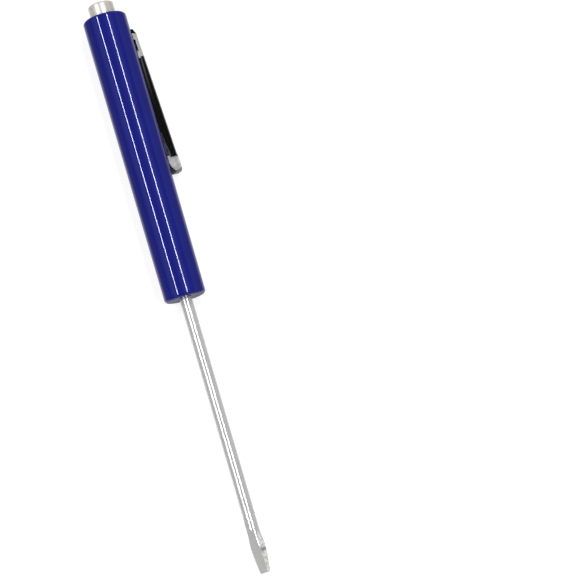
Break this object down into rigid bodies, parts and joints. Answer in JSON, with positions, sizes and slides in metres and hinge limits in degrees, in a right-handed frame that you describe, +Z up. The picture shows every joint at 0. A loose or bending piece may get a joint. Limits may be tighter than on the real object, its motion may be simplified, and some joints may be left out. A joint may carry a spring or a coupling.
{
  "type": "pocket screwdriver",
  "caption": "Slim screwdriver with a fixed flat blade, a round plastic handle, a magnet in its head and a springy sheet-metal pocket clip.",
  "frame": {"origin": "the middle of the blade's working edge, on the tool's axis", "axes": "+X runs along the tool's axis and out of the tip, +Z is up as the tool lies on a table, on its handle and the lower corner of its clip, and the clip is on the +Y side"},
  "size_m": [0.1486, 0.014, 0.0112],
  "materials": {
    "handle_plastic": "dark blue, solid colour, high gloss",
    "blade_steel": "bright nickel-chrome plate on steel, slightly satin from drawing, ground flats at the tip",
    "magnet_nickel": "bright nickel plate with a slight warm tone",
    "clip_steel": "bright nickel plate on spring steel sheet"
  },
  "bodies": {
    "tool": {"handle": "handle_plastic", "blade": "blade_steel", "magnet": "magnet_nickel"},
    "clip": {"pocket_clip": "clip_steel"}
  },
  "joints": [
    {"name": "clip_flex", "type": "hinge", "parent": "tool", "child": "clip", "pos_m": [-0.1405, 0.00505, -0.00238], "axis": [0, 0.4258, 0.9048], "range_deg": [0, 3.5], "stiffness_Nm_per_rad": 1.6}
  ]
}
